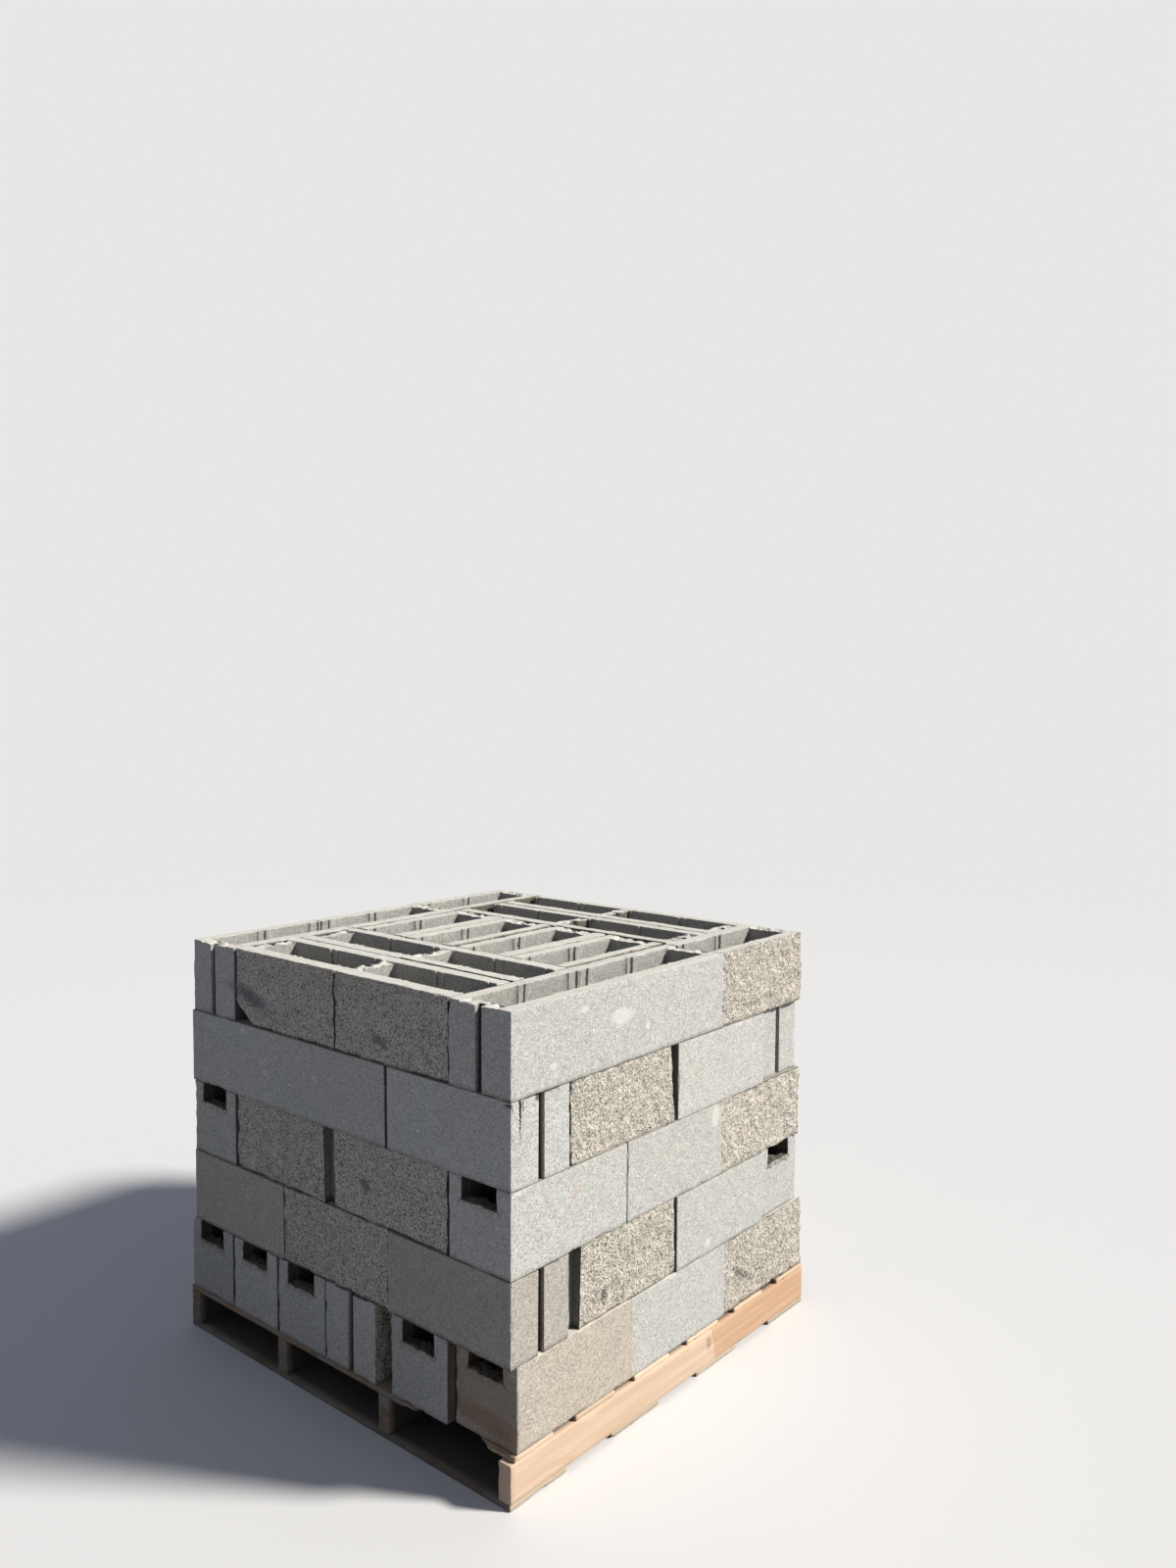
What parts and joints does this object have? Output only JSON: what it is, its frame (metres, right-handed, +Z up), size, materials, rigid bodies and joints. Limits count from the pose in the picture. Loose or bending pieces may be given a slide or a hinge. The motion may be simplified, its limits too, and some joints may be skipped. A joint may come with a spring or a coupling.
{
  "type": "pallet of concrete blocks",
  "caption": "Timber stringer pallet stacked with courses of hollow concrete masonry blocks, some faces split rough, with webs knocked out low for bond beams.",
  "frame": {"origin": "on the ground, at the middle of the pallet's footprint", "axes": "+X left to right along the front, in line with the pallet's boards; +Y to the back, along the stringers and the fork bays; +Z up through the stack"},
  "size_m": [1.2192, 1.2192, 1.0828],
  "materials": {
    "concrete": "rough, open-textured, pale grey",
    "fresh_timber": "sawn, unweathered",
    "aged_timber": "sawn, weathered and dusty"
  },
  "bodies": {
    "root": {"course_1_column_1": "concrete", "course_1_column_2": "concrete", "course_1_column_3": "concrete", "course_1_column_4": "concrete", "course_1_column_5": "concrete", "course_1_column_6": "concrete", "course_2_front_row": "concrete", "course_2_back_row": "concrete", "course_2_left_columns": "concrete", "course_2_middle_blocks": "concrete", "course_2_right_columns": "concrete", "course_4_front_row": "concrete", "course_4_back_row": "concrete", "course_4_left_columns": "concrete", "course_4_middle_blocks": "concrete", "course_4_right_columns": "concrete", "course_3_left_column": "concrete", "course_3_right_column": "concrete", "course_3_front_rows": "concrete", "course_3_middle_blocks": "concrete", "course_3_back_rows": "concrete", "course_5_left_column": "concrete", "course_5_right_column": "concrete", "course_5_front_rows": "concrete", "course_5_middle_blocks": "concrete", "course_5_back_rows": "concrete", "stringer_1": "aged_timber", "stringer_2": "aged_timber", "stringer_3": "aged_timber", "stringer_4": "fresh_timber", "deck_board_1": "aged_timber", "deck_board_2": "aged_timber", "deck_board_3": "aged_timber", "deck_board_4": "aged_timber", "deck_board_5": "aged_timber", "deck_board_6": "aged_timber", "bottom_board_1": "aged_timber", "bottom_board_2": "aged_timber", "bottom_board_3": "aged_timber", "bottom_board_4": "aged_timber"}
  },
  "joints": []
}
